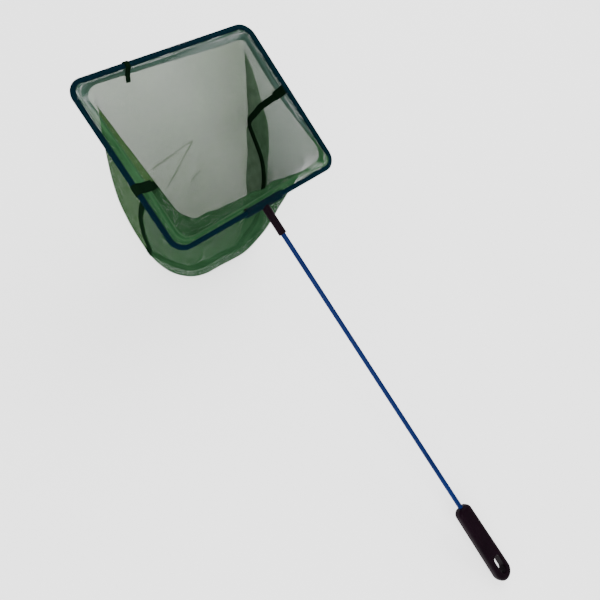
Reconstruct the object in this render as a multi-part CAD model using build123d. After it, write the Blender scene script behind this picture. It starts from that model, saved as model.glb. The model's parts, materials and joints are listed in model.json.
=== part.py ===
from build123d import *
import os
from math import acos, atan2, cos, degrees, hypot, radians, sin, tan

# Aquarium fish net: a wire hoop with a soft mesh bag, on a coated rod with a moulded grip.
# It is modelled in the plane of its hoop, with the handle along -Y and the bag below,
# and is then stood on a floor, where it rests on the bag's bottom and the grip's end.

# Hoop, measured at the middle of its wire
mouth_width = 200.0
mouth_depth = 165.0
mouth_corner = 13.0
wire_core = 3.0
wire_coat_wall = 0.6
wire_end_gap = 0.8

# Handle, from the middle of the hoop's near wire to the end of the grip
handle_length = 445.0
rod_core = 3.6
rod_coat_wall = 0.6
rod_in_grip = 46.0
rod_coat_in_grip = 22.0

# Moulded joiner between hoop and handle
crossbar_length = 44.0
crossbar_diameter = 8.8
stem_length = 34.0
stem_diameter = 8.0
joiner_web = 1.2
joiner_round = 1.4
joiner_end_round = 0.8

# Grip
grip_length = 88.0
grip_neck_width = 18.5
grip_end_width = 20.5
grip_neck_corner = 6.5
grip_thickness = 11.0
grip_edge_round = 4.0
slot_length = 20.0
slot_width = 8.0
slot_to_end = 18.0
slot_edge_round = 1.0

# Bag: each wall's inset from the hoop, level with it, and how full it stays on its way down.
# Corners are given as near right, far right, far left and near left.
bag_depth = 160.0
bag_lean = 0.6
left_inset = 16.0
right_inset = 3.0
near_inset = 16.5
far_swell = 4.5
left_fullness = 3.2
right_fullness = 4.2
near_fullness = 1.6
far_fullness = 3.0
near_right_taper = 0.25
far_right_taper = 0.25
bag_corners = (60.0, 9.0, 26.0, 40.0)
toe_share = 0.985
toe_fold = 8.0
mesh_wall = 1.0
bag_levels = (0.15, 0.25, 0.375, 0.5, 0.625, 0.74, 0.83, 0.9, 0.96, 1.0)

# Hem line, where the cloth has come in below the hoop and turns down
hem_drop = 11.0
hem_left_inset = 22.0
hem_right_inset = 5.0
hem_near_inset = 11.5
hem_far_inset = 5.0
hem_corners = (24.0, 10.0, 16.0, 22.0)
hem_spread = 2.0

# The lower pouch slides up inside the upper walls
pouch_top = 100.0
pouch_lap = 4.0
pouch_gap = 0.4

# Sewn parts
hem_wall = 0.6
seam_turn = 10.0
tape_width = 7.0
tape_wall = 0.8
tab_from_middle = -42.0
tab_width = 4.5
tab_length = 13.0
tab_wall = 0.8
tab_droop = 40.0
stitch_pitch = 7.0
stitch_length = 3.2
stitch_wall = 0.5
stitch_below_hem = 3.0
stitch_gap = 0.4

# Fits
coat_gap = 0.05
hem_gap = 0.15
sewn_gap = 0.12
clear_gap = 0.3

# Sizes that follow from the ones above
wire_radius = wire_core / 2 + coat_gap + wire_coat_wall
rod_radius = rod_core / 2 + coat_gap + rod_coat_wall
hem_radius = wire_radius + hem_gap + hem_wall
half_width = mouth_width / 2
half_depth = mouth_depth / 2
grip_end_y = -half_depth - handle_length
grip_start_y = grip_end_y + grip_length
rod_start_y = -half_depth - crossbar_diameter / 2 - joiner_web
rod_end_y = grip_start_y - rod_in_grip
bag_top = hem_radius + clear_gap
pouch_inset = mesh_wall + pouch_gap + tape_wall + sewn_gap
toe_grow = -mesh_wall - pouch_gap
far_away = 4 * (handle_length + mouth_depth)


def along(start, axis, length, profile):
    """A straight bar of the given section that starts at a point and runs along an axis."""
    return extrude(Plane(origin=start, z_dir=axis) * profile, length)


def round_bar(start, axis, length, radius):
    return along(start, axis, length, Circle(radius))


def swept(path, profile):
    return sweep(Plane(origin=path @ 0, z_dir=path % 0) * profile, path=path)


def ring(outer, inner):
    return Circle(outer) - Circle(inner)


def hoop_path(*points):
    return FilletPolyline(*points, radius=mouth_corner)


# Bag sections

def reach(full, share, fullness):
    """How far a wall stands from the bag's axis at a share of the bag's depth."""
    return full * max(0.0, 1 - share**fullness) ** (1 / fullness)


def corners_of(left, right, near, far):
    return [(right, near), (right, far), (left, far), (left, near)]


def wall_corners(share):
    """Corner points of the bag at a share of its depth."""
    axis_y = -bag_lean * bag_depth * share
    toe = toe_fold / 2
    left = reach(half_width - left_inset, share * toe_share, left_fullness)
    right = reach(half_width - right_inset, share * toe_share, right_fullness)
    near = max(toe, reach(half_depth - near_inset, share, near_fullness))
    far = reach(half_depth + far_swell, share, far_fullness)
    return [
        (right * (1 - near_right_taper * share), axis_y - near),
        (right, axis_y + max(toe, far * (1 - far_right_taper * share))),
        (-left, axis_y + max(toe, far)),
        (-left, axis_y - near),
    ]


def bag_rows():
    """Each level of the bag: depth, corner points, corner radii, and growth outward and down."""
    mouth = corners_of(-half_width, half_width, -half_depth, half_depth)
    hem = corners_of(
        hem_left_inset - half_width,
        half_width - hem_right_inset,
        hem_near_inset - half_depth,
        half_depth - hem_far_inset,
    )
    rows = [(bag_top, mouth, [mouth_corner] * 4, 1, 1)]
    rows.append((hem_drop, hem, hem_corners, hem_spread, 0))
    for share in bag_levels:
        rows.append((bag_depth * share, wall_corners(share), bag_corners, 1, share))
    return rows


def grown(corners, grow):
    """The corner points of an outline whose four sides are all moved outward."""
    points = [Vector(*corner) for corner in corners]
    ways = [(points[i] - points[i - 1]).normalized() for i in range(4)]
    outs = [Vector(way.Y, -way.X) for way in ways]
    moved = []
    for i in range(4):
        both = outs[i] + outs[(i + 1) % 4]
        moved.append(points[i] + both * (2 * grow / both.length**2))
    return moved


def rounded_corner(corner, back, ahead, radius):
    """The arc that rounds a corner between the points before and after it."""
    to_back = (back - corner).normalized()
    to_ahead = (ahead - corner).normalized()
    half = radians(to_back.get_angle(to_ahead) / 2)
    room = 0.45 * min((back - corner).length, (ahead - corner).length)
    cut = min(radius / tan(half), room)
    height = cut * tan(half) * (1 / sin(half) - 1)
    middle = corner + (to_back + to_ahead).normalized() * height
    return ThreePointArc(corner + to_back * cut, middle, corner + to_ahead * cut)


def level_face(depth, corners, radii, out, down, grow):
    points = grown(corners, out * grow)
    arcs = []
    for i in range(4):
        radius = max(radii[i] + out * grow, 0.3)
        arcs.append(rounded_corner(points[i], points[i - 1], points[(i + 1) % 4], radius))
    edges = []
    for i in range(4):
        edges += [arcs[i], Line(arcs[i] @ 1, arcs[(i + 1) % 4] @ 0)]
    return Pos(0, 0, -depth - down * grow) * make_face(edges)


def bag_solid(grow):
    """The filled bag, with its walls moved out and down by grow."""
    faces = [level_face(*row, grow) for row in bag_rows()]
    return loft(faces, ruled=True)


def bag_skin(outer, inner):
    return bag_solid(outer) - bag_solid(inner)


def between(top, bottom):
    """Everything between two depths below the hoop."""
    return Pos(0, 0, -(top + bottom) / 2) * Box(far_away, far_away, bottom - top)


turn = radians(seam_turn)
seam_plane = Plane(
    origin=(0, 0, 0),
    x_dir=(cos(turn), sin(turn), 0),
    z_dir=(-sin(turn), cos(turn), -bag_lean * cos(turn)),
)
seam_slab = seam_plane * Box(far_away, far_away, tape_width)


def seam_y(x):
    """Where the seam meets the hoop's plane at a given x."""
    return x * sin(turn) / cos(turn)


def back_of(shape):
    return split(shape, bisect_by=seam_plane, keep=Keep.TOP)


def front_of(shape):
    return split(shape, bisect_by=seam_plane, keep=Keep.BOTTOM)


def left_of(shape):
    return split(shape, bisect_by=Plane.YZ, keep=Keep.BOTTOM)


def right_of(shape):
    return split(shape, bisect_by=Plane.YZ, keep=Keep.TOP)


# Hoop wire and its coating

near_right = (wire_end_gap / 2, -half_depth)
near_left = (-wire_end_gap / 2, -half_depth)
corner_c = (half_width, -half_depth)
corner_b = (half_width, half_depth)
corner_a = (-half_width, half_depth)
corner_d = (-half_width, -half_depth)
hoop_line = hoop_path(near_right, corner_c, corner_b, corner_a, corner_d, near_left)
hoop_wire = swept(hoop_line, Circle(wire_core / 2))
hoop_coating = swept(hoop_line, ring(wire_radius, wire_core / 2 + coat_gap))


# Handle rod and its coating

handle_axis = (0, -1, 0)
rod_start = (0, rod_start_y, 0)
handle_rod = round_bar(rod_start, handle_axis, rod_start_y - rod_end_y, rod_core / 2)
coat_length = rod_start_y - grip_start_y + rod_coat_in_grip
coat_profile = ring(rod_radius, rod_core / 2 + coat_gap)
handle_coating = along(rod_start, handle_axis, coat_length, coat_profile)


# Joiner

crossbar_start = (-crossbar_length / 2, -half_depth, 0)
crossbar = round_bar(crossbar_start, (1, 0, 0), crossbar_length, crossbar_diameter / 2)
stem = round_bar((0, -half_depth, 0), handle_axis, stem_length, stem_diameter / 2)
joiner = crossbar + stem
neck = [e for e in joiner.edges() if e.geom_type not in (GeomType.CIRCLE, GeomType.LINE)]
joiner = fillet(neck, joiner_round)
joiner_ends = joiner.edges().filter_by(GeomType.CIRCLE)
joiner = fillet(joiner_ends, joiner_end_round)
joiner -= round_bar(crossbar_start, (1, 0, 0), crossbar_length, wire_radius + coat_gap)
joiner -= round_bar(rod_start, handle_axis, far_away, rod_radius + coat_gap)


# Grip

def on_slot_rim(edge):
    """True for an edge where the slot breaks through one of the grip's flat faces."""
    place = edge.center()
    on_face = abs(abs(place.Z) - grip_thickness / 2) < 0.01
    in_length = abs(place.Y - grip_end_y - slot_to_end) < slot_length / 2 + 0.01
    return on_face and in_length and abs(place.X) < slot_width / 2 + 0.01


neck_corner_x = grip_neck_width / 2 - grip_neck_corner
end_radius = grip_end_width / 2
grip_marks = [
    Pos(neck_corner_x, grip_start_y - grip_neck_corner) * Circle(grip_neck_corner),
    Pos(-neck_corner_x, grip_start_y - grip_neck_corner) * Circle(grip_neck_corner),
    Pos(0, grip_end_y + end_radius) * Circle(end_radius),
]
grip_outline = make_hull([edge for mark in grip_marks for edge in mark.edges()])
grip = extrude(grip_outline, grip_thickness / 2, both=True)
grip = fillet(grip.faces().filter_by(Axis.Z).edges(), grip_edge_round)
slot_place = Pos(0, grip_end_y + slot_to_end) * Rot(0, 0, 90)
slot = extrude(slot_place * SlotOverall(slot_length, slot_width), grip_thickness, both=True)
grip -= slot
slot_rims = [edge for edge in grip.edges() if on_slot_rim(edge)]
grip = fillet(slot_rims, slot_edge_round)
bore_radius = rod_radius + coat_gap
core_radius = rod_core / 2 + coat_gap
grip -= round_bar((0, grip_start_y, 0), handle_axis, rod_coat_in_grip, bore_radius)
grip -= round_bar((0, grip_start_y, 0), handle_axis, rod_in_grip, core_radius)


# Hem sleeves round the hoop

hem_profile = ring(hem_radius, wire_radius + hem_gap)
seam_right = seam_y(half_width)
seam_left = seam_y(-half_width)
hem_cut = clear_gap / 2
hem_near_x = crossbar_length / 2 + clear_gap
hem_far_line = hoop_path(
    (half_width, seam_right + hem_cut), corner_b, corner_a, (-half_width, seam_left + hem_cut)
)
hem_right_line = hoop_path((half_width, seam_right - hem_cut), corner_c, (hem_near_x, -half_depth))
hem_left_line = hoop_path((-half_width, seam_left - hem_cut), corner_d, (-hem_near_x, -half_depth))
hem_far = swept(hem_far_line, hem_profile)
hem_near_right = swept(hem_right_line, hem_profile)
hem_near_left = swept(hem_left_line, hem_profile)


# Tab of tape looped round the far side of the hem

tab_bore = hem_radius + sewn_gap
tab_start = (tab_from_middle - tab_width / 2, half_depth, 0)
tab_loop = along(tab_start, (1, 0, 0), tab_width, ring(tab_bore + tab_wall, tab_bore))
tab_tongue = Box(tab_width, tab_length, tab_wall, align=(Align.CENTER, Align.MAX, Align.CENTER))
tab_place = Pos(tab_from_middle, half_depth, 0) * Rot(tab_droop, 0, 0)
hem_tab = tab_loop + tab_place * Pos(0, -tab_bore - tab_wall / 2, 0) * tab_tongue
tab_room = round_bar(tab_start, (1, 0, 0), tab_width, tab_bore + tab_wall + sewn_gap)


# Upper walls of the bag

joiner_room = round_bar(
    (-hem_near_x, -half_depth, 0), (1, 0, 0), 2 * hem_near_x, crossbar_diameter / 2 + clear_gap
)
walls = bag_skin(0, -mesh_wall) & between(0, pouch_top)
back_panel = back_of(walls) - tab_room
front_panel = front_of(walls) - joiner_room


# Lower pouch, inset so that it slides up inside the walls

pouch_range = between(pouch_top - pouch_lap, 2 * bag_depth)
pouch = bag_skin(-pouch_inset, -pouch_inset - mesh_wall) & pouch_range
back_pouch = back_of(pouch)
front_pouch = front_of(pouch)


# Binding tape over the seam

side_tape = bag_skin(sewn_gap + tape_wall, sewn_gap) & seam_slab
side_tape &= between(hem_drop + tape_wall, pouch_top)
left_tape = left_of(side_tape)
right_tape = right_of(side_tape)
toe_tape = bag_skin(toe_grow, toe_grow - tape_wall) & seam_slab
toe_tape &= between(pouch_top, 2 * bag_depth)


# Ends of the tape, turned over the hem inside the mouth

end_skin = bag_skin(-mesh_wall - sewn_gap, -mesh_wall - sewn_gap - tape_wall) & seam_slab
mouth_inside = 2 * (half_width - hem_radius - sewn_gap)
end_skin &= between(0, hem_drop) & Box(mouth_inside, far_away, far_away)
left_tape_end = left_of(end_skin)
right_tape_end = right_of(end_skin)


# Hem stitching, a ring of short stitches inside the bag below its hem

hem_row, wall_row = bag_rows()[1:3]
row_share = stitch_below_hem / (wall_row[0] - hem_row[0])


def between_rows(high, low):
    """A size, a point or a list of them, taken from the hem's row and the next one."""
    if isinstance(high, (list, tuple)):
        return [between_rows(*pair) for pair in zip(high, low)]
    return high + row_share * (low - high)


stitch_row = between_rows(hem_row, wall_row)
stitch_off = stitch_gap + stitch_wall / 2
stitch_face = level_face(*stitch_row, -mesh_wall - stitch_off / stitch_row[3])
stitch_line = stitch_face.face().outer_wire()
stitch_count = int(stitch_line.length / stitch_pitch)
stitch = Box(stitch_length, stitch_wall, stitch_wall)
stitches = []
for number in range(stitch_count):
    share = (number + 0.5) / stitch_count
    place = Plane(origin=stitch_line @ share, x_dir=stitch_line % share, z_dir=(0, 0, 1))
    stitches.append(place.location * stitch)
hem_stitching = Compound(stitches)

parts = {
    "hoop_wire": hoop_wire,
    "hoop_coating": hoop_coating,
    "handle_rod": handle_rod,
    "handle_coating": handle_coating,
    "joiner": joiner,
    "grip": grip,
    "hem_far": hem_far,
    "hem_near_left": hem_near_left,
    "hem_near_right": hem_near_right,
    "hem_tab": hem_tab,
    "back_panel": back_panel,
    "front_panel": front_panel,
    "back_pouch": back_pouch,
    "front_pouch": front_pouch,
    "left_tape": left_tape,
    "right_tape": right_tape,
    "toe_tape": toe_tape,
    "left_tape_end": left_tape_end,
    "right_tape_end": right_tape_end,
    "hem_stitching": hem_stitching,
}

# Stand the net on the floor: the toe's lower edge level with the grip's rounded end edge

toe_y = -bag_lean * bag_depth - toe_fold / 2 - toe_grow
toe_z = -bag_depth - toe_grow
rise_y = grip_end_y + grip_edge_round - toe_y
rise_z = grip_edge_round - grip_thickness / 2 - toe_z
stand_tilt = degrees(atan2(rise_y, rise_z) + acos(grip_edge_round / hypot(rise_y, rise_z)))
stood = {name: Rot(stand_tilt, 0, 0) * part for name, part in parts.items()}
boxes = [part.bounding_box() for part in stood.values()]
middle_x = (min(box.min.X for box in boxes) + max(box.max.X for box in boxes)) / 2
middle_y = (min(box.min.Y for box in boxes) + max(box.max.Y for box in boxes)) / 2
to_floor = Pos(-middle_x, -middle_y, -min(box.min.Z for box in boxes))

os.makedirs("parts", exist_ok=True)
for name, part in stood.items():
    export_step(to_floor * part, f"parts/{name}.step")
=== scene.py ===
import json
from math import atan2, cos, pi, radians, sin

import bpy
import numpy as np
from mathutils import Matrix, Vector, noise


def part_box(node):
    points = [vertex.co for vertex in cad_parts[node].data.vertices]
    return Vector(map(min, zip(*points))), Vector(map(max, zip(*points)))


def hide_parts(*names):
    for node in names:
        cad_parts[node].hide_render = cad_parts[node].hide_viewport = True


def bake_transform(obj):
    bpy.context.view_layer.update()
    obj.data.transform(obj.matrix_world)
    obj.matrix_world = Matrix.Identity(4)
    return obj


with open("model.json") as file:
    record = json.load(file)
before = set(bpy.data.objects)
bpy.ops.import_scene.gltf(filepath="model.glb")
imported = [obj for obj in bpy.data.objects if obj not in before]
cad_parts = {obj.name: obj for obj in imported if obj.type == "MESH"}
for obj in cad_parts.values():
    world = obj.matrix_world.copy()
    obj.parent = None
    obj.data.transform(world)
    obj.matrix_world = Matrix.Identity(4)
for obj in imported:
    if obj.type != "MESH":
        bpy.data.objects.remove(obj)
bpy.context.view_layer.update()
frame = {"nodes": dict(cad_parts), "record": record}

# The net is shaped in the plane of its hoop, in millimetres: x to the right and y to the far
# side, seen from the grip, and depth down into the bag. It is then put where the frame is.
MM = 0.001
HANG_SLOT = frame["record"]["mounts"][0]
TILT = atan2(-HANG_SLOT["axis"][1], HANG_SLOT["axis"][2])
HOOP_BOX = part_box("hoop_coating")
HOOP_MIDDLE = (np.array(HOOP_BOX[0]) + np.array(HOOP_BOX[1])) / 2

# Hoop, measured at the middle of its wire, and the joiner at its near side
HALF_DEPTH = 82.5
NEAR_REACH = 6.0
NEAR_EASE = 2.0
JOINER_HALF = 22.0
JOINER_RADIUS = 4.4
JOINER_CLEAR = 0.4
JOINER_EASE = 4.0
STEM_RADIUS = 4.0
STEM_OVERLAP = 0.5
STEM_START = 1.0

# Hem: the mesh goes over the wire and is sewn to itself a little below it
HEM_WIDTH = 14.0
HEM_RADIUS = 2.75
HEM_TAPER = 8.0
HEM_LAYER = 0.35
HEM_START = 0.5
HEM_ROWS = 13
LOOP_REACH = 1.5
LOOP_ROWS = 11

# Bag
BAG_DEPTH = 158.0
MESH_WALL = 0.01
FOLD_GAP = 2.4
FOLD_FULL = 12.0
LEAST_FOLD = 1.5
PLEAT_LAYERS = 2.2
CORNER_STEP = 1.2
CORNER_SHARE = 0.96
FAR_FACING = 0.5
BACK_NODES = ("back_panel", "back_pouch", "hem_far")
FRONT_NODES = ("front_panel", "front_pouch", "hem_near_left", "hem_near_right")

# Rows of the panels as (from, to, step) of depth: close at the hem and where the seam crosses
# the pleat's edge
PANEL_ROWS = ((0, 16, 1.0), (16, 80, 2.0), (80, 100, 0.5), (100, BAG_DEPTH + 0.1, 2.0))
PANEL_COLUMNS = 240
PANEL_SMOOTHING = 4
WALL_ROWS = 84
CLOSING_ROWS = 7

# Binding tape, with half of its cross section as shares of its width and thickness
TAPE_WIDTH = 7.0
TAPE_WALL = 1.5
TAPE_HALF = ((-0.5, 0.25), (-0.42, 0.5), (0, 0.56), (0.42, 0.5), (0.5, 0.25))
TAPE_STEP = 1.5
TAPE_SMOOTHING = 14
TAPE_TUCK = 2.0
TOE_EVERY = 4
TOE_OUT = (0.0, -0.45, -0.9)
TAPE_END_WIDTH = 9.5
TAPE_END_LENGTH = 19.0
TAPE_END_WALL = 0.6
STRAP_LIFT = 0.5
STRAP_COLUMNS = 4
TAB_MIDDLE = -42.0
TAB_WIDTH = 4.6
TAB_LENGTH = 16.0
TAB_OUTSIDE = HEM_WIDTH - 4
TAB_REACH = 3 * HEM_WIDTH
TAB_FACING = 0.3

# Stitches
STITCH_PITCH = 3.6
STITCH_LENGTH = 2.5
STITCH_INSET = 1.6
STITCH_RADIUS = 0.3
STITCH_TIP = 0.55
STITCH_SWELL = 0.45
STITCH_RISE = 0.15
STITCH_ARCH = 0.25
STITCH_AHEAD = 0.5
STITCH_SIDES = 6
STITCH_STATIONS = 5


# Frame, curves and lines

def to_world(points):
    """Points in the hoop's plane, in millimetres, as points of the frame, in metres."""
    p = np.asarray(points, float) * MM
    y = p[..., 1] * cos(TILT) - p[..., 2] * sin(TILT)
    z = p[..., 1] * sin(TILT) + p[..., 2] * cos(TILT)
    return np.stack([p[..., 0], y, z], -1) + HOOP_MIDDLE


def curve(*knots):
    """A smooth function through (place, value) points that never overshoots them."""
    x = np.array([k[0] for k in knots], float)
    y = np.array([k[1] for k in knots], float)
    step = np.diff(x)
    slope = np.diff(y) / step
    lean = np.concatenate([slope[:1], np.zeros(len(x) - 2), slope[-1:]])
    for i in range(1, len(x) - 1):
        if slope[i - 1] * slope[i] > 0:
            before = 2 * step[i] + step[i - 1]
            after = step[i] + 2 * step[i - 1]
            lean[i] = (before + after) / (before / slope[i - 1] + after / slope[i])

    def value(place):
        place = min(max(place, x[0]), x[-1])
        i = min(max(int(np.searchsorted(x, place)) - 1, 0), len(step) - 1)
        t = (place - x[i]) / step[i]
        start = (1 + 2 * t) * (1 - t) ** 2 * y[i] + t * (1 - t) ** 2 * step[i] * lean[i]
        end = t * t * (3 - 2 * t) * y[i + 1] + t * t * (t - 1) * step[i] * lean[i + 1]
        return start + end

    return value


def unit(vectors):
    length = np.linalg.norm(vectors, axis=-1, keepdims=True)
    return vectors / np.maximum(length, 1e-9)


def square_to(vectors, directions):
    """Unit vectors with their share along the directions taken out."""
    share = np.sum(vectors * directions, -1, keepdims=True)
    return unit(vectors - directions * share)


def ease(t):
    t = np.clip(t, 0, 1)
    return t * t * (3 - 2 * t)


def lengths_along(points, axis=0):
    """How far each point of a line, or of a grid's columns or rows, lies from the first one."""
    first = np.take(points, [0], axis)
    steps = np.linalg.norm(np.diff(points, axis=axis, prepend=first), axis=-1)
    return np.cumsum(steps, axis)


def line_at(places, lengths, line):
    """A line's points read again at other places along it."""
    return np.stack([np.interp(places, lengths, line[:, k]) for k in range(line.shape[1])], -1)


def smoothed(line, passes):
    """A line, or a grid's rows, with all but the ends drawn towards their neighbours."""
    line = line.copy()
    for _ in range(passes):
        line[1:-1] = (line[:-2] + 2 * line[1:-1] + line[2:]) / 4
    return line


# Bag: each wall's place at each depth below the hoop

LEFT_FAR = curve(
    (0, -100), (3, -93), (7, -85), (11, -82.5), (16, -82.5), (30, -83.5), (60, -84.5),
    (85, -83.5), (105, -81), (120, -77), (138, -67), (150, -52), (158, -31),
)
LEFT_NEAR = curve(
    (0, -100), (3, -90), (7, -78), (11, -72), (16, -72), (30, -79), (60, -84),
    (85, -83.5), (105, -81), (120, -77), (138, -66), (150, -51), (158, -31),
)
FAR = curve(
    (0, 82.5), (20, 71), (40, 58), (60, 46), (80, 33), (100, 18), (120, 0), (140, -25),
    (150, -43), (158, -76),
)
NEAR_LEFT = curve(
    (0, -82.5), (3, -75), (7, -66), (11, -62), (16, -63), (30, -76), (50, -90), (80, -98),
    (100, -101), (120, -102), (140, -100), (150, -97), (158, -92),
)
NEAR_RIGHT = curve(
    (0, -82.5), (3, -79), (7, -74), (11, -72.5), (16, -73), (30, -80), (50, -91), (80, -100),
    (100, -104), (120, -107), (140, -108), (150, -105), (158, -97),
)
NEAR_END = curve(
    (0, 100), (10, 98), (30, 94), (60, 88), (90, 82), (120, 74), (140, 63), (158, 44),
)

# A pleat hangs from the far right corner and lies against the outside of the right wall
PLEAT_X = curve(
    (0, 100), (20, 98.5), (97, 97), (112, 95), (131, 86), (140, 78), (150, 64), (158, 47),
)
PLEAT_Y = curve(
    (0, 82.5), (28, 66), (39, 57), (61, 37), (79, 23), (97, 11), (112, -4), (131, -27),
    (140, -45), (150, -63), (158, -84),
)
PLEAT_WIDTH = curve(
    (0, 0), (20, 1), (35, 14), (46, 29), (55, 39), (65, 45), (113, 50), (139, 45), (148, 36),
    (154, 24), (158, 12),
)

# Corner radii
ROUND_FAR_LEFT = curve((0, 13), (20, 18), (60, 24), (158, 30))
ROUND_FAR_RIGHT = curve((0, 13), (20, 3), (158, 3))
ROUND_NEAR_LEFT = curve((0, 13), (12, 22), (60, 48), (100, 66), (120, 56), (140, 44), (158, 30))
ROUND_NEAR_RIGHT = curve((0, 13), (20, 35), (60, 70), (110, 70), (140, 50), (158, 30))

# The seam between the two panels: on the right as a way along the wall from the pleat's inner
# fold, minus being towards the near side, and on the left as y
SEAM_RIGHT = curve(
    (0, -72), (28, -54), (46, -35), (66, -17), (78, -7), (83, -5), (87, -20), (91, -37),
    (96, -45), (106, -49), (118, -48), (128, -46), (140, -37), (148, -28), (158, -10),
)
SEAM_LEFT = curve(
    (0, -20), (30, -21), (60, -26), (85, -41), (98, -51), (112, -54), (136, -54), (145, -60),
    (150, -70), (154, -79), (158, -88),
)
TOE_SAG = curve((0, 0), (0.13, 3.4), (0.38, 0.7), (0.72, 2.5), (1, 0))
TOE_DEPTH = 157.0
TOE_BULGE = 0.8

# Faint creases in the far wall: (x, depth) of both ends
CREASES = (((-29, 98), (22, 86)), ((-18, 118), (22, 86)), ((16, 118), (28, 114)))
CREASE_HEIGHT = 0.9
CREASE_WIDTH = 1.9
CREASE_ENDS = (0.02, 0.98)
CREASE_CLOSE = 0.14
# Painted shade: how far the threads in a crease are painted towards the dark crease colour, for the
# shadow in the fold
CREASE_SHADE = 0.5

# Slack cloth: broad and fine folds below the hem
SLACK_HEIGHT = 0.5
SLACK_TOP = 18
SLACK_RISE = 40
SLACK_FALL = 25
BROAD_SHARE = 1.5
BROAD_SCALE = 0.021
FINE_SHARE = 0.7
FINE_SCALE = (0.055, 0.055, 0.03)
FINE_SHIFT = (7, 3, 1)

# Ruffle: the near wall waves where the hem gathers it
RUFFLE_HEIGHT = 3.4
RUFFLE_LENGTH = 16.0
RUFFLE_ROW = (0.4, 2.7)
RUFFLE_TOP = 5
RUFFLE_RISE = 6
RUFFLE_END = 34
RUFFLE_FALL = 16
RUFFLE_FAR = -30
RUFFLE_FADE = 30


def corner_cuts(corners, radii):
    """Each corner's directions back and ahead, half its angle, and what its rounding cuts off."""
    back = np.roll(corners, 1, 0) - corners
    ahead = np.roll(corners, -1, 0) - corners
    edge = np.linalg.norm(ahead, axis=1)
    back = unit(back)
    ahead = unit(ahead)
    half = 0.5 * np.arccos(np.clip(np.sum(back * ahead, 1), -1, 1))
    cut = np.array(radii) / np.tan(half)
    fit = np.minimum(1, CORNER_SHARE * edge / (cut + np.roll(cut, -1)))
    return back, ahead, half, cut * np.minimum(fit, np.roll(fit, 1))


def rounded_polygon(corners, radii):
    """Points round a polygon with rounded corners, and each corner's first and last index."""
    corners = np.array(corners, float)
    back, ahead, half, cut = corner_cuts(corners, radii)
    radius = cut * np.tan(half)
    points = []
    spans = []
    for i, corner in enumerate(corners):
        middle = corner + unit(back[i] + ahead[i]) * radius[i] / np.sin(half[i])
        first = corner + back[i] * cut[i] - middle
        last = corner + ahead[i] * cut[i] - middle
        start = atan2(first[1], first[0])
        sweep = (atan2(last[1], last[0]) - start + pi) % (2 * pi) - pi
        count = max(4, int(abs(sweep) * radius[i] / CORNER_STEP) + 2)
        angles = start + sweep * np.linspace(0, 1, count)
        spans.append((len(points), len(points) + count - 1))
        points.extend(middle + radius[i] * np.stack([np.cos(angles), np.sin(angles)], -1))
    return np.array(points), spans


def pleat_corners(start, way, out, width, gap):
    """The corners of a flat pleat that leaves a wall, runs along it and comes back outside."""
    end = start + way * width
    outside = out * PLEAT_LAYERS * gap
    inner = [start, start + out * gap, end + out * gap]
    return inner + [end + outside, start + outside - way * gap]


def section(depth):
    """The bag's outline at a depth, and the spans of its inner fold and of its left corners."""
    near_right = np.array([NEAR_END(depth), NEAR_RIGHT(depth)])
    near_left = np.array([LEFT_NEAR(depth), NEAR_LEFT(depth)])
    fold = np.array([PLEAT_X(depth), PLEAT_Y(depth)])
    far_left = np.array([LEFT_FAR(depth), FAR(depth)])
    corners = [near_right]
    radii = [ROUND_NEAR_RIGHT(depth)]
    width = PLEAT_WIDTH(depth)
    if width < LEAST_FOLD:
        corners.append(fold)
        radii.append(ROUND_FAR_RIGHT(depth))
    else:
        way = unit(near_right - fold)
        out = np.array([-way[1], way[0]])
        gap = FOLD_GAP * min(1, width / FOLD_FULL)
        corners += pleat_corners(fold, way, out, width, gap)
        radii += [gap, gap, gap, gap, 2 * gap]
    left_at = len(corners)
    corners += [far_left, near_left]
    radii += [ROUND_FAR_LEFT(depth), ROUND_NEAR_LEFT(depth)]
    points, spans = rounded_polygon(corners, radii)
    return points, spans[1], spans[left_at], spans[left_at + 1]


def ring_of(depth):
    """The outline as two runs of even points from seam to seam: the back panel's, then the front's."""
    points, fold, far_left, near_left = section(depth)
    loop = np.vstack([points, points[:1]])
    way = lengths_along(loop)
    right = (way[fold[0]] + way[fold[1]]) / 2 + SEAM_RIGHT(depth)
    side = slice(far_left[0], near_left[1] + 1)
    left = np.interp(-SEAM_LEFT(depth), -loop[side, 1], way[side])
    level = np.full((PANEL_COLUMNS, 1), -depth)
    runs = []
    for start, end in ((right, left), (left, right + way[-1])):
        places = np.linspace(start, end, PANEL_COLUMNS) % way[-1]
        runs.append(np.hstack([line_at(places, way, loop), level]))
    return runs


def closed_toe(panel, start, end, along_toe):
    """A panel with rows that bring its lower edge to the seam along the toe."""
    toe = start + (end - start) * np.linspace(0, 1, PANEL_COLUMNS)[:, None]
    toe[:, 1] -= [TOE_SAG(place) for place in along_toe]
    toe[:, 2] = -TOE_DEPTH
    rows = [panel]
    for t in np.linspace(0, 1, CLOSING_ROWS + 1)[1:]:
        row = panel[-1] + (toe - panel[-1]) * t
        row[:, 2] -= TOE_BULGE * sin(pi * t)
        rows.append(row[None])
    return np.vstack(rows)


def base_panels():
    """The two panels as grids: rows down from the wire to the toe, columns from seam to seam."""
    depths = np.concatenate([np.arange(*rows) for rows in PANEL_ROWS])
    levels = [ring_of(depth) for depth in depths]
    back, front = [np.array([level[side] for level in levels]) for side in (0, 1)]
    back = smoothed(back, PANEL_SMOOTHING)
    front = smoothed(front, PANEL_SMOOTHING)
    right = back[-1, 0]
    left = back[-1, -1]
    share = np.linspace(0, 1, PANEL_COLUMNS)
    return closed_toe(back, right, left, share), closed_toe(front, left, right, 1 - share)


def grid_normals(grid):
    """Outward directions of a grid whose columns run round the bag and whose rows run down."""
    return unit(np.cross(np.gradient(grid, axis=0), np.gradient(grid, axis=1)))


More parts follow.
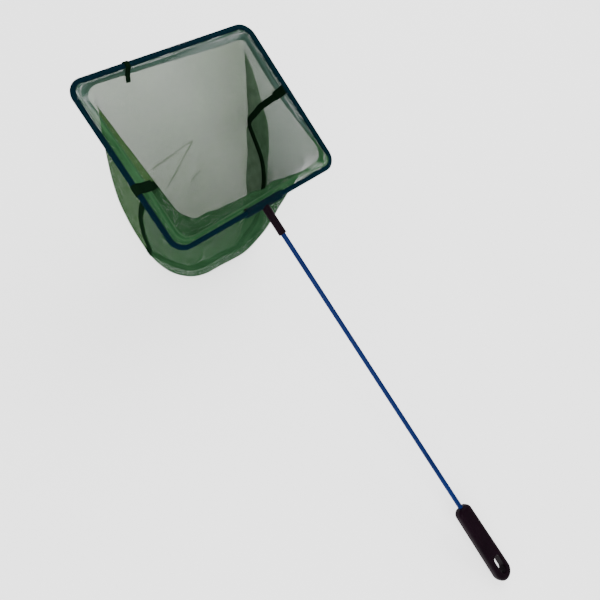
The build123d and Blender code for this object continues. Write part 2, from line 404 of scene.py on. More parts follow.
def fold_height(grid):
    """How far small folds of slack cloth lift each point."""
    height = np.zeros(grid.shape[:2])
    for spot in np.ndindex(height.shape):
        place = Vector(grid[spot])
        fine_place = Vector([part * scale for part, scale in zip(place, FINE_SCALE)])
        broad = noise.noise(place * BROAD_SCALE)
        fine = noise.noise(fine_place + Vector(FINE_SHIFT))
        height[spot] = SLACK_HEIGHT * (BROAD_SHARE * broad + FINE_SHARE * fine)
    return height


def crease_height(grid, start, end):
    """How far a crease presses each point in: most halfway along it."""
    start = np.array(start, float)
    line = np.array(end, float) - start
    offset = np.stack([grid[..., 0], -grid[..., 2]], -1) - start
    share = np.clip(offset @ line / (line @ line), 0, 1)
    distance = np.linalg.norm(offset - share[..., None] * line, axis=-1)
    ridge = np.exp(-((distance / CREASE_WIDTH) ** 2))
    return CREASE_HEIGHT * (ridge * np.sin(pi * np.clip(share, *CREASE_ENDS)))


def ruffle_height(grid):
    """How far the gathered cloth below the near side of the hem waves in and out."""
    depth = -grid[..., 2]
    level = ease((depth - RUFFLE_TOP) / RUFFLE_RISE) * ease((RUFFLE_END - depth) / RUFFLE_FALL)
    ruffle = level * ease((RUFFLE_FAR - grid[..., 1]) / RUFFLE_FADE)
    places = grid[..., 0].ravel() / RUFFLE_LENGTH
    wave = np.array([noise.noise(Vector((place, *RUFFLE_ROW))) for place in places])
    return RUFFLE_HEIGHT * ruffle * wave.reshape(depth.shape)


def slack(grid):
    """The panel with the small folds of slack cloth."""
    outward = grid_normals(grid)
    depth = -grid[..., 2]
    strength = ease((depth - SLACK_TOP) / SLACK_RISE) * ease((BAG_DEPTH - depth) / SLACK_FALL)
    height = fold_height(grid)
    on_far_wall = outward[..., 1] > FAR_FACING
    for start, end in CREASES:
        height -= crease_height(grid, start, end) * on_far_wall
    slackened = grid + outward * (height * strength)[..., None]
    slackened[..., 1] += ruffle_height(grid)
    return slackened


def sampled(grid, lengths, places):
    """A grid's rows read again at other places along each column."""
    columns = range(grid.shape[1])
    return np.stack([line_at(places[:, j], lengths[:, j], grid[:, j]) for j in columns], 1)


def flat_places(grid):
    """Where each point of a grid lies on the flat cloth: across from its middle, and down."""
    across = lengths_along(grid, 1)
    middle = across[:, grid.shape[1] // 2][:, None]
    return np.stack([across - middle, lengths_along(grid)], -1)


def hem_radius(x, y):
    """How far the hem's loop stands from the wire's middle: more where it goes over the joiner."""
    on_near_wire = ease((-HALF_DEPTH + NEAR_REACH - y) / NEAR_EASE)
    over_joiner = ease((JOINER_HALF + JOINER_EASE - np.abs(x)) / JOINER_EASE) * on_near_wire
    return HEM_RADIUS + (JOINER_RADIUS + JOINER_CLEAR - HEM_RADIUS) * over_joiner


class Wall:
    """Cloth that hangs from the wire, as a grid: rows run down, columns follow each other along it."""

    def __init__(self, grid):
        self.grid = grid
        self.outward = grid_normals(grid)
        self.lengths = lengths_along(grid)
        self.radius = hem_radius(grid[0, :, 0], grid[0, :, 1])

    def at(self, places):
        """The cloth's points and outward directions at places along its columns."""
        places = np.broadcast_to(places, (len(places), self.grid.shape[1]))
        points = sampled(self.grid, self.lengths, places)
        return points, unit(sampled(self.outward, self.lengths, places))

    def layer(self, side, depths, lift):
        """One layer of the hem, inside (-1) or outside (1) of the wire, closing in below it."""
        places = depths[:, None]
        middle, normal = self.at(places)
        taper = HEM_TAPER + 2 * (self.radius - HEM_RADIUS)
        bulge = np.cos(np.clip(places / taper, 0, 1) * pi / 2) ** 2
        stand = HEM_LAYER + (self.radius - HEM_LAYER) * bulge + lift
        return middle + side * normal * stand[..., None]

    def loop(self, lift):
        """The hem's way over the wire, square to it."""
        wire = self.grid[0]
        below, _ = self.at(np.array([[LOOP_REACH]]))
        ahead = square_to(below[0] - wire, unit(np.gradient(wire, axis=0)))
        normal = square_to(self.outward[0], ahead)
        rows = []
        for angle in np.linspace(-pi / 2, pi / 2, LOOP_ROWS):
            turned = normal * sin(angle) - ahead * cos(angle)
            rows.append(wire + turned * (self.radius + lift)[:, None])
        return np.array(rows)

    def hem(self, depth_in, depth_out, lift=0.0):
        """Rows up inside the hem, over the wire and down outside it, lifted off the cloth.

        With no depth outside they end at the wire."""
        inner = self.layer(-1, np.linspace(depth_in, HEM_START, HEM_ROWS), lift)
        if not depth_out:
            return inner
        outer = self.layer(1, np.linspace(HEM_START, depth_out, HEM_ROWS), lift)
        return np.concatenate([inner, self.loop(lift), outer])


class Panel(Wall):
    """One of the bag's two pieces of mesh, with its slack."""

    def __init__(self, grid):
        super().__init__(slack(grid))

    def cloth(self):
        """The whole sheet: up inside the hem, over the wire, and down to the toe."""
        shares = np.linspace(0, 1, WALL_ROWS + 1)[1:, None]
        wall, normal = self.at(HEM_WIDTH + (self.lengths[-1] - HEM_WIDTH) * shares)
        lower = wall + normal * HEM_LAYER * (1 - shares[..., None])
        return np.concatenate([self.hem(HEM_WIDTH, HEM_WIDTH), lower])

    def cloth_place(self, x, depth):
        """Where a point of the far wall lies on the flat cloth."""
        grid = self.cloth()
        off = np.hypot(grid[..., 0] - x, grid[..., 2] + depth)
        off[grid_normals(grid)[..., 1] < FAR_FACING] = np.inf
        spot = np.unravel_index(np.argmin(off), off.shape)
        return flat_places(grid)[spot]


# Meshes

def new_object(name, vertices, faces, material, uv=None):
    mesh = bpy.data.meshes.new(name)
    mesh.from_pydata([tuple(v) for v in vertices], [], faces)
    mesh.validate()
    mesh.update()
    if uv is not None:
        layer = mesh.uv_layers.new(name="cloth")
        index = np.zeros(len(mesh.loops), int)
        mesh.loops.foreach_get("vertex_index", index)
        layer.data.foreach_set("uv", np.asarray(uv, np.float32)[index].ravel())
    mesh.shade_smooth()
    mesh.materials.append(material)
    obj = bpy.data.objects.new(name, mesh)
    bpy.context.scene.collection.objects.link(obj)
    return obj


def shell(name, grid, wall, material, keep=None):
    """A sheet of cloth with a thin wall, from a grid of points in the hoop's plane."""
    rows, columns = grid.shape[:2]
    outward = grid_normals(grid)
    flat = flat_places(grid).reshape(-1, 2)
    sides = [grid + outward * wall / 2, grid - outward * wall / 2]
    vertices = to_world(np.concatenate([side.reshape(-1, 3) for side in sides]))
    inside = rows * columns
    if keep is None:
        keep = np.ones((rows - 1, columns - 1), bool)
    padded = np.pad(keep, 1)
    faces = []
    for i, j in np.argwhere(keep):
        a = i * columns + j
        b = a + 1
        c = b + columns
        d = a + columns
        faces.append((a, d, c, b))
        faces.append((a + inside, b + inside, c + inside, d + inside))
        edges = ((a, b, i, j + 1), (b, c, i + 1, j + 2), (c, d, i + 2, j + 1), (d, a, i + 1, j))
        for first, last, row, column in edges:
            if not padded[row, column]:
                faces.append((first, last, last + inside, first + inside))
    return new_object(name, vertices, faces, material, np.concatenate([flat, flat]))


def ribbon(name, middle, across, normal, material):
    """The tape along a line of points, with rounded edges and closed ends."""
    shape = [*TAPE_HALF, *((-x, -z) for x, z in TAPE_HALF)]
    sides = len(shape)
    lines = [middle + across * TAPE_WIDTH * x + normal * TAPE_WALL * z for x, z in shape]
    vertices = np.stack(lines, 1).reshape(-1, 3)
    last = len(vertices) - 1
    faces = [tuple(range(sides)), tuple(last - k for k in range(sides))]
    for ring in range(0, len(vertices) - sides, sides):
        for k in range(sides):
            a = ring + k
            b = ring + (k + 1) % sides
            faces.append((b, a, a + sides, b + sides))
    uv = [(x * TAPE_WIDTH, place) for place in lengths_along(middle) for x, _ in shape]
    return new_object(name, to_world(vertices), faces, material, uv)


# Materials

# Threads: sizes in millimetres, and shares of the pitch or of the thread's width
MESH_PITCH = 0.8
MESH_SLANT = 0.62
THREAD_LEAST = 0.72
THREAD_GROWTH = 0.23
THREAD_EDGE = 6.0
HEM_OPEN_AT = 10.0
HEM_OPEN_REACH = 7.0
HEM_BLUR = 2.0
# How wide the sleeve over the wire is painted nearly black as shade, and its blur
SLEEVE = 4.5
SLEEVE_BLUR = 1.0

# Where a wall counts as a side or as a front, and how wide left turns into right, in metres, for the
# painted light and shade of each wall
SIDE_FACING = 0.95
FRONT_FACING = 0.2
HALF_BLUR = 0.01

# Colours of the mesh: the darkest and the lightest of each place. All are one green yarn with painted
# light and shade:
# the sleeve over the wire and the creases painted in shade, the hem painted grey and green by its
# light, each wall lit or in shade
# Painted shade: the mesh over the wire painted nearly black, for the shade of the layered hem over the
# wire
SLEEVE_PAINTED_SHADE = (0.004, 0.016, 0.024)
# Painted shadow in the creases of the far wall
CREASE_SHADOW_COLOUR = (0.020, 0.034, 0.018)
# Painted light along the hem: grey where the bright floor shows through it, green where light falls on
# it
HEM_PAINTED_BACKLIT_GREYS = ((0.042, 0.090, 0.070), (0.088, 0.160, 0.130))
HEM_PAINTED_LIT_GREENS = ((0.024, 0.092, 0.034), (0.062, 0.172, 0.074))
HEM_STREAKS = (0.02, 0.3, 1.0)
# Painted light: the back panel's far wall and right side painted lit, its left side painted in shade
BACK_GREENS_PAINTED_LIGHT = {
    "left": ((0.032, 0.068, 0.030), (0.047, 0.092, 0.042)),
    "right": ((0.075, 0.125, 0.078), (0.105, 0.165, 0.108)),
    "wall": ((0.048, 0.104, 0.034), (0.070, 0.138, 0.050)),
}
# Painted shade: the front panel's near wall and left side painted in shade, its right side painted
# lighter
FRONT_GREENS_PAINTED_LIGHT = {
    "left": ((0.014, 0.046, 0.018), (0.024, 0.068, 0.028)),
    "right": ((0.045, 0.092, 0.050), (0.065, 0.122, 0.072)),
    "wall": ((0.016, 0.050, 0.021), (0.027, 0.074, 0.033)),
}

# Each panel's threads as a share of the pitch, how they close up downwards, per millimetre, and
# across (from, to, amount), and where across the cloth its hem turns from grey to green, as painted
# light
BACK_MESH = {
    "thread": 0.325,
    "droop": 0.0009,
    "right_close": (0, -120, 0.22),
    "greens": BACK_GREENS_PAINTED_LIGHT,
    "green_hem": (90, 110),
}
FRONT_MESH = {
    "thread": 0.25,
    "droop": 0.0012,
    "right_close": (30, 70, 0.5),
    "greens": FRONT_GREENS_PAINTED_LIGHT,
    "green_hem": (110, 90),
}

# Other surfaces
MATTE = {"Roughness": 0.9, "Specular IOR Level": 0.0}
TAPE_RIB = 0.9
TAPE_WARP = 0.7
TAPE_COLOURS = ((0.002, 0.008, 0.003), (0.007, 0.020, 0.010))
THREAD_COLOURS = ((0.006, 0.026, 0.009), (0.018, 0.06, 0.022))
COATING_COLOURS = ((0.003, 0.018, 0.14), (0.006, 0.032, 0.21))
PLASTIC_COLOURS = ((0.004, 0.0008, 0.003), (0.008, 0.002, 0.006))
PLASTIC_EDGE = (0.016, 0.006, 0.013)
STEEL_COLOURS = ((0.42, 0.42, 0.44), (0.6, 0.6, 0.61))
FLOOR_COLOURS = ((0.93, 0.93, 0.93), (0.95, 0.95, 0.95))
BLACK = (0.0, 0.0, 0.0)
WHITE = (1.0, 1.0, 1.0)


def new_material(name):
    """A material, its node tree and its surface shader."""
    material = bpy.data.materials.new(name)
    material.use_nodes = True
    return material, material.node_tree, material.node_tree.nodes["Principled BSDF"]


def set_plain(shader, values):
    """Gives inputs of a shader plain values."""
    for name, value in values.items():
        shader.inputs[name].default_value = value


def node(tree, kind, **settings):
    made = tree.nodes.new(kind)
    for key, value in settings.items():
        setattr(made, key, value)
    return made


def math(tree, operation, first, second=None, third=None):
    made = node(tree, "ShaderNodeMath", operation=operation)
    for socket, value in zip(made.inputs, (first, second, third)):
        if value is None:
            continue
        if isinstance(value, (int, float)):
            socket.default_value = value
        else:
            tree.links.new(value, socket)
    return made.outputs[0]


def speckle(tree, scale, detail=3.0, vector=None):
    made = node(tree, "ShaderNodeTexNoise")
    set_plain(made, {"Scale": scale, "Detail": detail})
    if vector is not None:
        tree.links.new(vector, made.inputs["Vector"])
    return made.outputs[0]


def stretched(tree, vector, scale):
    made = node(tree, "ShaderNodeMapping")
    made.inputs["Scale"].default_value = scale
    tree.links.new(vector, made.inputs["Vector"])
    return made.outputs[0]


def held(tree, value):
    """A value kept between 0 and 1."""
    return math(tree, "MAXIMUM", math(tree, "MINIMUM", value, 1.0), 0.0)


def rising(tree, value, start, end):
    """0 up to the start, 1 from the end on, and an even rise between them."""
    return held(tree, math(tree, "DIVIDE", math(tree, "SUBTRACT", value, start), end - start))


def ramp(tree, factor, start, end, colours):
    """One colour up to the start, another from the end on, and a blend between them."""
    made = node(tree, "ShaderNodeValToRGB")
    for element, place, colour in zip(made.color_ramp.elements, (start, end), colours):
        element.position = place
        element.color = (*colour, 1)
    tree.links.new(factor, made.inputs[0])
    return made.outputs[0]


def blended(tree, factor, first, second):
    """One colour turning into another."""
    made = node(tree, "ShaderNodeMix", data_type="RGBA")
    tree.links.new(factor, made.inputs["Factor"])
    for socket, colour in zip((made.inputs[6], made.inputs[7]), (first, second)):
        if isinstance(colour, tuple):
            socket.default_value = (*colour, 1)
        else:
            tree.links.new(colour, socket)
    return made.outputs[2]


def bump(tree, height, shader, distance, strength=1.0):
    made = node(tree, "ShaderNodeBump")
    set_plain(made, {"Strength": strength, "Distance": distance})
    tree.links.new(height, made.inputs["Height"])
    tree.links.new(made.outputs[0], shader.inputs["Normal"])


def object_place(tree):
    return node(tree, "ShaderNodeTexCoord").outputs["Object"]


def cloth_uv(tree):
    return node(tree, "ShaderNodeTexCoord").outputs["UV"]


def parts_of(tree, vector):
    """The x, y and z of a vector."""
    made = node(tree, "ShaderNodeSeparateXYZ")
    tree.links.new(vector, made.inputs[0])
    return made.outputs


def flat_cloth(tree):
    """A place on the flat cloth, in millimetres: across from its middle, and down from its top."""
    flat = parts_of(tree, cloth_uv(tree))
    return flat[0], flat[1]


def crease(tree, across, down, start, end):
    """1 on a crease of the cloth and 0 away from it, from its two ends on the flat cloth."""
    length = float(np.linalg.norm(end - start))
    way_across, way_down = [float(step) for step in (end - start) / length]
    right = math(tree, "SUBTRACT", across, float(start[0]))
    lower = math(tree, "SUBTRACT", down, float(start[1]))
    along = math(tree, "MULTIPLY_ADD", right, way_across, math(tree, "MULTIPLY", lower, way_down))
    aside = math(tree, "MULTIPLY_ADD", right, way_down, math(tree, "MULTIPLY", lower, -way_across))
    before = math(tree, "MULTIPLY", along, -1.0)
    after = math(tree, "SUBTRACT", along, length)
    past = math(tree, "MAXIMUM", math(tree, "MAXIMUM", before, after), 0.0)
    off = math(tree, "ADD", math(tree, "ABSOLUTE", aside), past)
    return rising(tree, off, CREASE_WIDTH, 0.0)


def facing_walls_painted_light(tree):
    """1 on the walls in front and behind, and 0 on the walls at the sides, for painted light: the far
    wall is painted lit and the near wall in shade.
    """
    facing = parts_of(tree, node(tree, "ShaderNodeNewGeometry").outputs["Normal"])
    return rising(tree, math(tree, "ABSOLUTE", facing[0]), SIDE_FACING, FRONT_FACING)


def right_half_painted_light(tree):
    """1 right of the net's middle and 0 left of it, for painted light: the right side is painted
    lighter and the left side in shade.
    """
    return rising(tree, parts_of(tree, object_place(tree))[0], -HALF_BLUR, HALF_BLUR)


def threads(tree, across, down, width):
    """Two sets of slanting threads: 1 along the middle of each, and 0 at its edge."""
    right = math(tree, "MULTIPLY", across, 1 / MESH_PITCH)
    lower = math(tree, "MULTIPLY", down, MESH_SLANT / MESH_PITCH)
    sets = []
    for lean in ("ADD", "SUBTRACT"):
        place = math(tree, lean, right, lower)
        off = math(tree, "ABSOLUTE", math(tree, "SUBTRACT", math(tree, "FRACT", place), 0.5))
        edge = math(tree, "SUBTRACT", 0.5, off)
        sets.append(math(tree, "SUBTRACT", 1.0, math(tree, "DIVIDE", edge, width)))
    return math(tree, "MAXIMUM", *sets)


def from_wire(tree, down):
    """How far a place on the cloth lies from the wire that the hem goes over."""
    return math(tree, "ABSOLUTE", math(tree, "SUBTRACT", down, HEM_WIDTH + pi * HEM_RADIUS / 2))


def thread_width(tree, across, down, thread, droop, right_close):
    """The threads' share of the pitch: less beside the wire, more further down and to one side."""
    past_open = math(tree, "SUBTRACT", from_wire(tree, down), HEM_OPEN_AT)
    drawn = rising(tree, math(tree, "ABSOLUTE", past_open), 0.0, HEM_OPEN_REACH)
    width = math(tree, "MULTIPLY_ADD", drawn, THREAD_GROWTH * thread, THREAD_LEAST * thread)
    width = math(tree, "MULTIPLY_ADD", down, droop * thread, width)
    start, end, amount = right_close
    closer = math(tree, "MULTIPLY_ADD", rising(tree, across, start, end), amount, 1.0)
    return math(tree, "MULTIPLY", width, closer)


def hem_colour(tree, across, green_hem):
    """Streaks along the hem that turn from grey to green between two places across the cloth: painted
    light, grey where the bright floor shows through it and green where light falls on it.
    """
    stretch = stretched(tree, cloth_uv(tree), HEM_STREAKS)
    streaks = speckle(tree, scale=1.0, vector=stretch)
    grey = ramp(tree, streaks, 0.35, 0.65, HEM_PAINTED_BACKLIT_GREYS)
    green = ramp(tree, streaks, 0.35, 0.65, HEM_PAINTED_LIT_GREENS)
    return blended(tree, rising(tree, across, *green_hem), grey, green)


def cloth_colour(tree, across, down, greens, green_hem):
    """Painted light and shade on one green yarn: each wall lit or in shade, the hem in streaks with
    painted light, and the sleeve over the wire painted nearly black as shade.
    """
    tone = speckle(tree, scale=90.0, detail=4.0, vector=object_place(tree))
    left, right, wall = [ramp(tree, tone, 0.3, 0.7, greens[k]) for k in ("left", "right", "wall")]
    # Painted light: the right half lighter, the left half in shade
    sides = blended(tree, right_half_painted_light(tree), left, right)
    # Painted light: the walls in front and behind in their own light, lit on the far wall, in shade on
    # the near wall
    colour = blended(tree, facing_walls_painted_light(tree), sides, wall)
    hem = hem_colour(tree, across, green_hem)
    on_hem = rising(tree, down, HEM_WIDTH + HEM_BLUR, HEM_WIDTH - HEM_BLUR)
    colour = blended(tree, on_hem, colour, hem)
    # Painted shade: the sleeve over the wire painted nearly black
    on_shaded_sleeve = rising(tree, from_wire(tree, down), SLEEVE + SLEEVE_BLUR, SLEEVE)
    return blended(tree, on_shaded_sleeve, colour, SLEEVE_PAINTED_SHADE)


def mesh_cloth(name, thread, droop, right_close, greens, green_hem, creases=()):
    """Fine knitted mesh: crossing green threads with open holes between them."""
    material, tree, shader = new_material(name)
    across, down = flat_cloth(tree)
    width = thread_width(tree, across, down, thread, droop, right_close)
    colour = cloth_colour(tree, across, down, greens, green_hem)
    for start, end in creases:
        fold = crease(tree, across, down, start, end)
        closer = math(tree, "MULTIPLY_ADD", fold, CREASE_CLOSE, 1.0)
        width = math(tree, "MULTIPLY", width, closer)
        # Painted shadow: the threads in each crease are painted darker
        colour = blended(tree, math(tree, "MULTIPLY", fold, CREASE_SHADE), colour, CREASE_SHADOW_COLOUR)
    height = threads(tree, across, down, width)
    tree.links.new(math(tree, "MULTIPLY", height, THREAD_EDGE), shader.inputs["Alpha"])
    tree.links.new(colour, shader.inputs["Base Color"])
    set_plain(shader, MATTE)
    bump(tree, height, shader, distance=0.0001)
    return material


def binding_tape():
    """Narrow woven tape, nearly black, with ribs across it."""
    material, tree, shader = new_material("binding_tape")
    across, along = flat_cloth(tree)
    ribs = math(tree, "SINE", math(tree, "MULTIPLY", along, 2 * pi / TAPE_RIB))
    warp = math(tree, "SINE", math(tree, "MULTIPLY", across, 2 * pi / TAPE_WARP))
    weave = math(tree, "MULTIPLY_ADD", math(tree, "MULTIPLY", ribs, warp), 0.5, 0.5)
    fluff = math(tree, "MULTIPLY", speckle(tree, scale=300.0), 0.4)
    tone = math(tree, "MULTIPLY_ADD", weave, 0.6, fluff)
    tree.links.new(ramp(tree, tone, 0.2, 0.9, TAPE_COLOURS), shader.inputs["Base Color"])
    set_plain(shader, MATTE)
    bump(tree, weave, shader, distance=0.0003)
    return material


def sewing_thread():
    material, tree, shader = new_material("thread")
    tone = speckle(tree, scale=900.0, detail=2.0, vector=object_place(tree))
    tree.links.new(ramp(tree, tone, 0.3, 0.7, THREAD_COLOURS), shader.inputs["Base Color"])
    shader.inputs["Roughness"].default_value = 0.5
    bump(tree, tone, shader, distance=0.0001)
    return material


def blue_coating(name, depth):
    """Smooth dipped plastic with slight waves and rubbed places; a lower depth is darker, and the
    hoop's low depth is painted shade from the hem over it.
    """
    colours = [tuple(part * depth for part in colour) for colour in COATING_COLOURS]
    material, tree, shader = new_material(name)
    place = object_place(tree)
    tone = speckle(tree, scale=35.0, detail=5.0, vector=place)
    tree.links.new(ramp(tree, tone, 0.3, 0.7, colours), shader.inputs["Base Color"])
    rubbed = speckle(tree, scale=160.0, detail=4.0, vector=place)
    tree.links.new(math(tree, "MULTIPLY_ADD", rubbed, 0.25, 0.2), shader.inputs["Roughness"])
    shader.inputs["Specular IOR Level"].default_value = 0.3 * depth * depth
    waves = speckle(tree, scale=260.0, detail=2.0, vector=place)
    bump(tree, waves, shader, distance=0.0001, strength=0.35)
    return material


def dark_plastic():
    """Moulded grip plastic, very dark brown with a fine grain."""
    material, tree, shader = new_material("dark_plastic")
    place = object_place(tree)
    tone = speckle(tree, scale=45.0, detail=6.0, vector=place)
    colour = ramp(tree, tone, 0.3, 0.75, PLASTIC_COLOURS)
    worn = node(tree, "ShaderNodeNewGeometry").outputs["Pointiness"]
    edges = ramp(tree, worn, 0.57, 0.72, (BLACK, WHITE))
    tree.links.new(blended(tree, edges, colour, PLASTIC_EDGE), shader.inputs["Base Color"])
    grain = speckle(tree, scale=1400.0, detail=2.0, vector=place)
    tree.links.new(math(tree, "MULTIPLY_ADD", grain, 0.25, 0.34), shader.inputs["Roughness"])
    shader.inputs["Specular IOR Level"].default_value = 0.04
    bump(tree, grain, shader, distance=0.0001, strength=0.5)
    return material


def bare_steel():
    material, tree, shader = new_material("steel")
    drawn = speckle(tree, scale=400.0, vector=object_place(tree))
    tree.links.new(ramp(tree, drawn, 0.3, 0.7, STEEL_COLOURS), shader.inputs["Base Color"])
    shader.inputs["Metallic"].default_value = 1.0
    tree.links.new(math(tree, "MULTIPLY_ADD", drawn, 0.2, 0.25), shader.inputs["Roughness"])
    return material


TAPE = binding_tape()
THREAD = sewing_thread()
NODE_MATERIALS = {
    "hoop_wire": bare_steel(),
    # Painted shade: the hoop's coating is a darker copy of the handle's, for the shade of the hem over
    # it
    "hoop_coating": blue_coating("blue_coating_of_hoop", depth=0.2),
    "handle_coating": blue_coating("blue_coating_of_handle", depth=0.5),
    "joiner": dark_plastic(),
}
NODE_MATERIALS["handle_rod"] = NODE_MATERIALS["hoop_wire"]
NODE_MATERIALS["grip"] = NODE_MATERIALS["joiner"]


def dress_frame():
    """Gives each solid that stays in view its own material."""
    for name, material in NODE_MATERIALS.items():
        mesh = frame["nodes"][name].data
        mesh.materials.clear()
        mesh.materials.append(material)


# Bag pieces


def sew(obj, slot, *nodes):
    """Puts a soft piece in place of its solids: bakes its place into its mesh and hides the solids."""
    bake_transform(obj)
    if nodes:
        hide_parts(*nodes)
    return obj


def clear_of_stem(grid):
    """Which faces of a grid lie outside the joiner's stem."""
    middle = (grid[:-1, :-1] + grid[1:, 1:]) / 2
    in_stem = np.hypot(middle[..., 0], middle[..., 2]) < STEM_RADIUS - STEM_OVERLAP
    return ~(in_stem & (middle[..., 1] < -HALF_DEPTH - STEM_START))


def build_panel(name, panel, material, nodes):
    grid = panel.cloth()
    obj = shell(name, grid, MESH_WALL, material, clear_of_stem(grid))
    return sew(obj, "green_mesh", *nodes)


def far_strip(panel, middle, width):
    """A narrow grid straight down the far wall."""
    places = np.linspace(middle + width / 2, middle - width / 2, STRAP_COLUMNS)
    upper = panel.grid[:, 0, 2] > -TAB_REACH
    rows = []
    for row, outward in zip(panel.grid[upper], panel.outward[upper]):
        wall = row[outward[:, 1] > TAB_FACING]
        wall = wall[np.argsort(wall[:, 0])]
        rows.append(line_at(places, wall[:, 0], wall))
    return np.array(rows)


def beside_seam(grid, reach):
    """The strip of a grid that lies beside its first column."""
    places = np.linspace(0, reach, STRAP_COLUMNS)
    return np.array([line_at(places, way, row) for way, row in zip(lengths_along(grid, 1), grid)])


def across_seam(first, second, width):
    """A narrow grid over both panels beside their seam, first's end and second's start."""
    before = beside_seam(first.grid[:, ::-1], width / 2)
    after = beside_seam(second.grid, width / 2)
    return np.concatenate([before[:, ::-1], after[:, 1:]], 1)


def build_strap(name, grid, depth_in, depth_out, node_name):
    """A short strap of tape laid round the hem, over the wire."""
    rows = Wall(grid).hem(depth_in, depth_out, STRAP_LIFT)
    return sew(shell(name, rows, TAPE_END_WALL, TAPE), "binding_tape", node_name)


def below_hem(lengths):
    """The rows of a column from the hem down to where the toe begins to close."""
    rows = np.arange(len(lengths) - CLOSING_ROWS)
    return rows[lengths[rows] > HEM_WIDTH - TAPE_TUCK]


def seam_line(back):
    """The seam's points and outward directions: down the left, along the toe and up the right."""
    left = below_hem(back.lengths[:, -1])
    right = below_hem(back.lengths[:, 0])
    toe = back.grid[-1, ::-1][TOE_EVERY:-TOE_EVERY:TOE_EVERY]
    toe_out = np.tile(TOE_OUT, (len(toe), 1))
    middle = np.concatenate([back.grid[left, -1], toe, back.grid[right, 0][::-1]])
    normal = np.concatenate([back.outward[left, -1], toe_out, back.outward[right, 0][::-1]])
    way = lengths_along(middle)
    places = np.linspace(0, way[-1], int(way[-1] / TAPE_STEP))
    return line_at(places, way, middle), unit(line_at(places, way, normal))


def build_tape(back):
    """The binding tape along the seam."""
    middle, normal = seam_line(back)
    middle = smoothed(middle, TAPE_SMOOTHING)
    for _ in range(TAPE_SMOOTHING):
        normal[1:-1] = unit(normal[:-2] + normal[1:-1] + normal[2:])
    along = unit(np.gradient(middle, axis=0))
    normal = square_to(normal, along)
    obj = ribbon("seam_tape", middle, np.cross(along, normal), normal, TAPE)
    return sew(obj, "binding_tape", "left_tape", "right_tape", "toe_tape")


def stitch_points(line, inward, way, start, side):
    """Rings of points along one stitch, which arches off the cloth on one side of the hem."""
    points = []
    for t in np.linspace(0, 1, STITCH_STATIONS):
        place = start + STITCH_LENGTH * t
        centre = line_at(place, way, line)
        out = side * unit(line_at(place, way, inward))
        ahead = unit(line_at(place + STITCH_AHEAD, way, line) - centre)
        beside = np.cross(out, ahead)
        rise = HEM_LAYER + STITCH_RISE + STITCH_ARCH * sin(pi * t)
        radius = STITCH_RADIUS * (STITCH_TIP + STITCH_SWELL * sin(pi * t))
        for k in range(STITCH_SIDES):
            angle = 2 * pi * k / STITCH_SIDES
            ray = out * cos(angle) + beside * sin(angle)
            points.append(centre + out * rise + ray * radius)
    return points


def stitch_faces(base):
    """The faces of a stitch, from the index of its first point."""
    sides = STITCH_SIDES
    end = base + (STITCH_STATIONS - 1) * sides
    faces = []
    for ring in range(base, end, sides):
        for k in range(sides):
            a = ring + k
            b = ring + (k + 1) % sides
            faces.append((a, b, b + sides, a + sides))
    faces.append(tuple(base + k for k in reversed(range(sides))))
    faces.append(tuple(end + k for k in range(sides)))
    return faces


def build_stitches(panels):
    """Short stitches in a line just inside the hem's edge, on both of its sides."""
    vertices = []
    faces = []
    for panel in panels:
        line, outward = [rows[0] for rows in panel.at(np.array([[HEM_WIDTH - STITCH_INSET]]))]
        way = lengths_along(line)
        for start in np.arange(STITCH_PITCH, way[-1] - STITCH_PITCH, STITCH_PITCH):
            for side in (1, -1):
                faces += stitch_faces(len(vertices))
                vertices += stitch_points(line, -outward, way, start, side)
    obj = new_object("hem_stitches", to_world(np.array(vertices)), faces, THREAD)
    return sew(obj, "thread", "hem_stitching")


def build_tape_ends(back, front):
    """The tape's two ends, turned over the hem: the left one comes down outside it as well."""
    left = across_seam(back, front, TAPE_END_WIDTH)
    right = across_seam(front, back, TAPE_END_WIDTH)
    return [
        build_strap("tape_end_left", left, TAPE_END_LENGTH, TAPE_END_LENGTH, "left_tape_end"),
        build_strap("tape_end_right", right, TAPE_END_LENGTH, 0, "right_tape_end"),
    ]


def build_bag():
    back, front = [Panel(grid) for grid in base_panels()]
    creases = [[back.cloth_place(*end) for end in line] for line in CREASES]
    back_mesh = mesh_cloth("green_mesh", **BACK_MESH, creases=creases)
    front_mesh = mesh_cloth("green_mesh_drawn", **FRONT_MESH)
    back_cloth = build_panel("bag_back", back, back_mesh, BACK_NODES)
    front_cloth = build_panel("bag_front", front, front_mesh, FRONT_NODES)
    tape = build_tape(back)
    ends = build_tape_ends(back, front)
    tab_grid = far_strip(back, TAB_MIDDLE, TAB_WIDTH)
    tab = build_strap("hem_tab_loop", tab_grid, TAB_LENGTH, TAB_OUTSIDE, "hem_tab")
    stitches = build_stitches((back, front))


# Stage

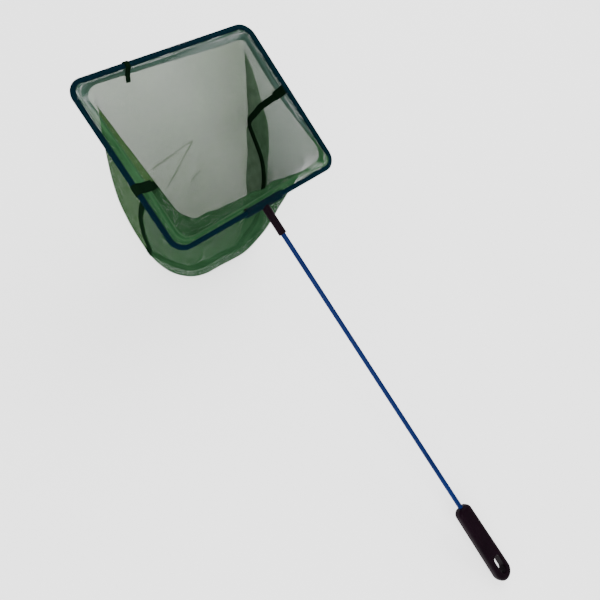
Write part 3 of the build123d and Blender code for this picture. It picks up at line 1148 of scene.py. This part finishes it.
CAMERA_PLACE = (-0.2942, -0.0719, 0.5635)
CAMERA_AIM = (-0.0085, 0.0479, 0.0970)
CAMERA_ROLL = 27.37
CAMERA_LENS = 33.85
CAMERA_SENSOR = 36.0
CAMERA_NEAREST = 0.01
FLOOR_HALF = 4.0
FLOOR_GLOW = 1.5
SKY_STRENGTH = 0.6
LIGHT_AIM = (0, 0.1, 0.05)
LIGHT_SIZE = 1.6
KEY_PLACE = (-0.9, -0.7, 1.5)
KEY_POWER = 28
FILL_PLACE = (1.1, 0.6, 1.3)
FILL_POWER = 19


def build_camera():
    camera = bpy.data.cameras.new("camera")
    camera.lens = CAMERA_LENS
    camera.sensor_width = CAMERA_SENSOR
    camera.clip_start = CAMERA_NEAREST
    obj = bpy.data.objects.new("camera", camera)
    bpy.context.scene.collection.objects.link(obj)
    look = Vector(CAMERA_AIM) - Vector(CAMERA_PLACE)
    roll = Matrix.Rotation(radians(CAMERA_ROLL), 3, "Z")
    turn = look.to_track_quat("-Z", "Y").to_matrix() @ roll
    obj.matrix_world = Matrix.Translation(CAMERA_PLACE) @ turn.to_4x4()
    bpy.context.scene.camera = obj


def build_floor():
    material, tree, shader = new_material("floor")
    tone = speckle(tree, scale=6.0, detail=2.0, vector=object_place(tree))
    tree.links.new(ramp(tree, tone, 0.3, 0.7, FLOOR_COLOURS), shader.inputs["Base Color"])
    set_plain(shader, {"Roughness": 0.9, "Specular IOR Level": 0.1})
    set_plain(shader, {"Emission Color": (*WHITE, 1), "Emission Strength": FLOOR_GLOW})
    half = FLOOR_HALF
    corners = [(-half, -half, 0), (half, -half, 0), (half, half, 0), (-half, half, 0)]
    new_object("floor", corners, [(0, 1, 2, 3)], material)


def area_light(name, place, power):
    light = bpy.data.lights.new(name, "AREA")
    light.shape = "DISK"
    light.size = LIGHT_SIZE
    light.energy = power
    obj = bpy.data.objects.new(name, light)
    obj.location = place
    aim = Vector(LIGHT_AIM) - Vector(place)
    obj.rotation_euler = aim.to_track_quat("-Z", "Y").to_euler()
    bpy.context.scene.collection.objects.link(obj)


def build_light():
    world = bpy.data.worlds.new("studio")
    bpy.context.scene.world = world
    world.use_nodes = True
    sky = world.node_tree.nodes["Background"]
    set_plain(sky, {"Color": (*WHITE, 1), "Strength": SKY_STRENGTH})
    area_light("key_light", KEY_PLACE, KEY_POWER)
    area_light("fill_light", FILL_PLACE, FILL_POWER)


dress_frame()
build_bag()
build_camera()
build_floor()
build_light()
